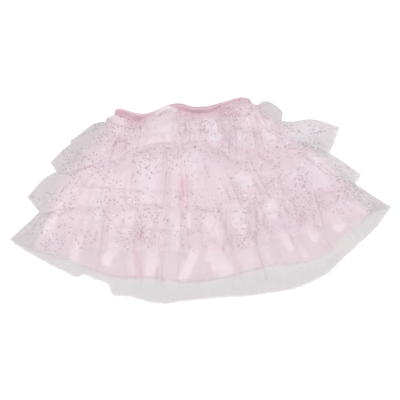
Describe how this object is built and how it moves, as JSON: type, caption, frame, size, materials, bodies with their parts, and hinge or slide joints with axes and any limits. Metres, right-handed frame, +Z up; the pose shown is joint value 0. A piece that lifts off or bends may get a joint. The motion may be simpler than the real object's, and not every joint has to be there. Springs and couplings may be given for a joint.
{
  "type": "tiered tulle skirt",
  "caption": "Child's tulle skirt laid flat: elastic waistband, satin lining, gathered tulle tiers with glitter and a longer plain tulle layer at the hem.",
  "frame": {"origin": "middle of the skirt's outline, on the surface that it lies on", "axes": "+X across the skirt, from its left side to its right as seen from above; +Y from the hem towards the waist; +Z up from the surface"},
  "size_m": [0.5753, 0.3108, 0.0355],
  "materials": {
    "waistband": "soft elastic satin",
    "lining": "satin",
    "glitter_tulle": "sheer net with glitter",
    "plain_tulle": "sheer net"
  },
  "bodies": {
    "root": {"waistband": "waistband", "lining": "lining", "waist_ruffle": "glitter_tulle", "tier_1": "glitter_tulle", "tier_2": "glitter_tulle", "tier_3": "glitter_tulle", "tier_4": "plain_tulle"}
  },
  "joints": []
}
